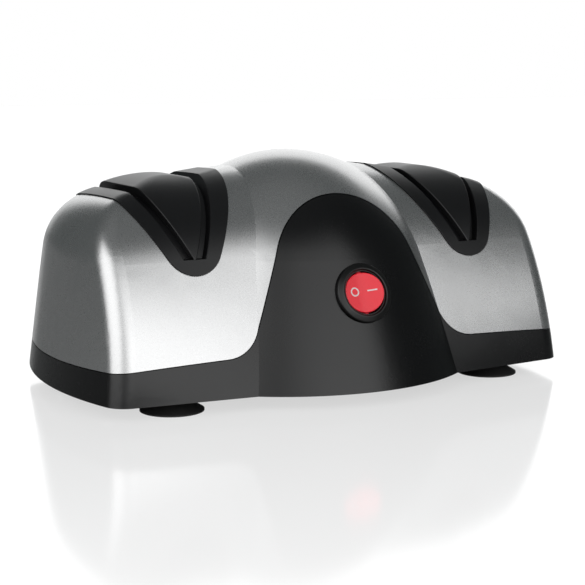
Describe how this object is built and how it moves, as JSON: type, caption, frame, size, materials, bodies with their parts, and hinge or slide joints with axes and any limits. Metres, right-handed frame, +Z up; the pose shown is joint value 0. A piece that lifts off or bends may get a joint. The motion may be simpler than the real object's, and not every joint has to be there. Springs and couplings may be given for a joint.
{
  "type": "electric knife sharpener",
  "caption": "Mains countertop knife sharpener: silver casing on a black base, two slotted grinding stations, round rocker switch, motor inside.",
  "frame": {"origin": "on the table, under the middle of the overall box", "axes": "+X along the length to the right seen from the switch side, +Y from the switch side to the back, +Z up"},
  "size_m": [0.2112, 0.131, 0.0915],
  "materials": {
    "silver_shell": "silver metallic paint on ABS, satin",
    "black_case": "black ABS, satin",
    "black_insert": "black moulded plastic, fine grain, satin",
    "plate": "black ABS, matt",
    "switch_red": "red translucent polycarbonate, gloss",
    "switch_bezel": "black plastic, satin gloss",
    "tin": "tinned brass",
    "can_steel": "zinc-plated steel",
    "bell": "glass-filled nylon, matt",
    "bush": "sintered bronze",
    "ferrite": "ferrite, matt",
    "laminations": "silicon-steel laminations",
    "copper": "enamelled copper wire",
    "commutator": "copper bars",
    "shaft_steel": "ground steel",
    "carbon": "carbon graphite",
    "spring_steel": "spring steel",
    "abrasive": "bonded aluminium oxide, gritty",
    "hub": "turned aluminium",
    "zinc": "zinc-plated steel",
    "rubber": "black rubber, matt",
    "board": "green circuit board",
    "component": "black epoxy",
    "can_cap": "dark blue sleeve"
  },
  "bodies": {
    "root": {"upper_shell": "silver_shell", "lower_housing": "black_case", "bottom_plate": "plate", "switch_body": "switch_bezel", "switch_terminals": "tin", "motor_can": "can_steel", "motor_magnets": "ferrite", "motor_end_bell": "bell", "carbon_brushes": "carbon", "brush_springs": "spring_steel", "circuit_board": "board", "bridge_rectifier": "component", "capacitor": "can_cap", "cord_gland": "rubber", "case_screws": "zinc", "strap_screws": "zinc", "board_screws": "zinc", "left_guide_insert": "black_insert", "left_bearing": "bush", "left_isolator": "rubber", "left_strap": "can_steel", "front_left_foot": "rubber", "rear_left_foot": "rubber", "right_guide_insert": "black_insert", "right_bearing": "bush", "right_isolator": "rubber", "right_strap": "can_steel", "front_right_foot": "rubber", "rear_right_foot": "rubber"},
    "rotor": {"motor_shaft": "shaft_steel", "armature_core": "laminations", "armature_windings": "copper", "commutator": "commutator", "left_grinding_wheel": "abrasive", "left_wheel_hub": "hub", "left_washer": "zinc", "left_wheel_nut": "zinc", "right_grinding_wheel": "abrasive", "right_wheel_hub": "hub", "right_washer": "zinc", "right_wheel_nut": "zinc"},
    "rocker": {"switch_rocker": "switch_red"}
  },
  "joints": [
    {"name": "rotor_spin", "type": "hinge", "parent": "root", "child": "rotor", "pos_m": [0, 0.0115, 0.035], "axis": [1, 0, 0], "continuous": true},
    {"name": "switch_rock", "type": "hinge", "parent": "root", "child": "rocker", "pos_m": [0, -0.05096, 0.04023], "axis": [0, 0.3784, 0.9256], "range_deg": [0, 20]}
  ]
}
